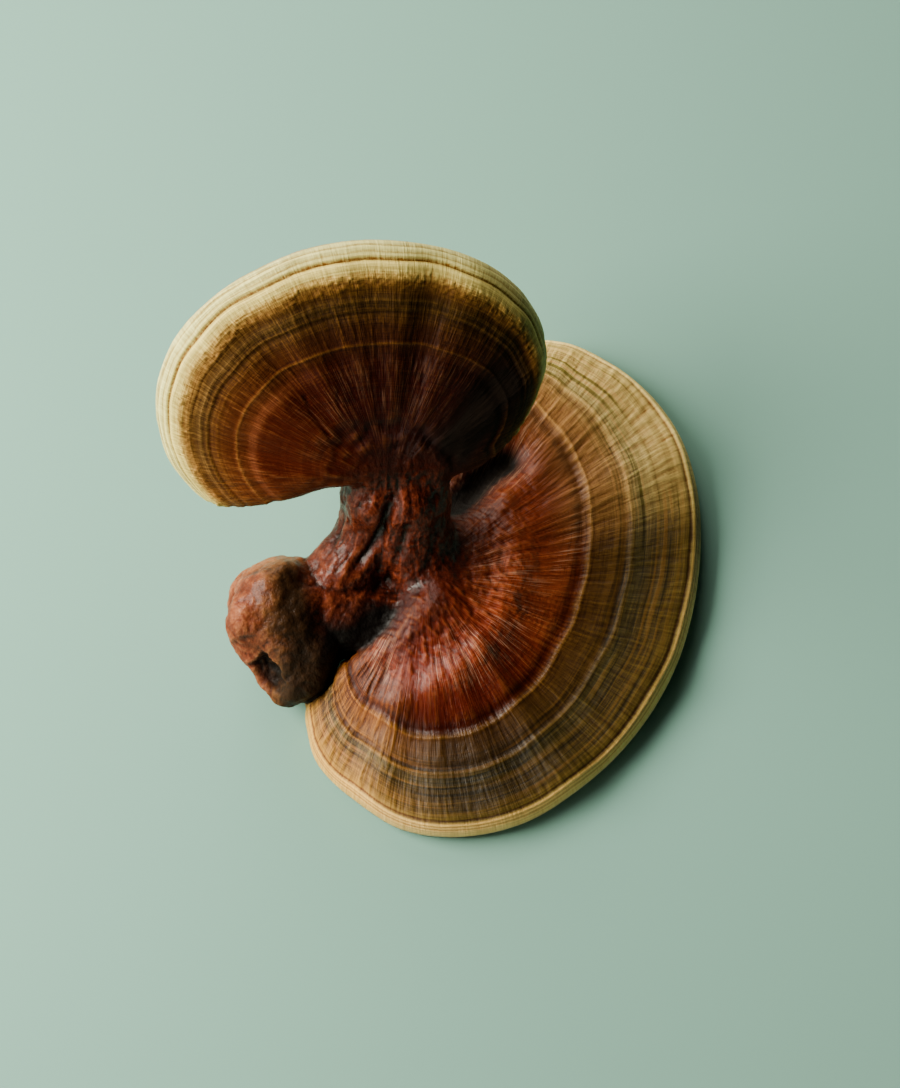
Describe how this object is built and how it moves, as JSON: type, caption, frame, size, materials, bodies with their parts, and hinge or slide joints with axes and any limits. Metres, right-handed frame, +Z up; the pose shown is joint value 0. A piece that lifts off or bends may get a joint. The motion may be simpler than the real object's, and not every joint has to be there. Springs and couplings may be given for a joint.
{
  "type": "reishi mushroom",
  "caption": "Picked reishi mushroom with a torn stem knob, a flat kidney-shaped cap and a second fan-shaped cap leaning back above it.",
  "frame": {"origin": "under the middle of the mushroom's box, on the surface that it lies on", "axes": "+Z up; -Y towards the near edge of the lower cap, where the camera is; +X to the right, away from the knob"},
  "size_m": [0.1202, 0.1204, 0.0803],
  "materials": {
    "stem_crust": "lacquered, wrinkled, nearly black in its hollows, fibrous where torn",
    "lower_crust": "lacquered red-brown inside, matt ochre zones and a pale rim outside",
    "upper_crust": "dull red-brown inside, matt ochre zones and a near-white rim outside"
  },
  "bodies": {
    "root": {"stem": "stem_crust", "lower_cap": "lower_crust", "upper_cap": "upper_crust"}
  },
  "joints": []
}
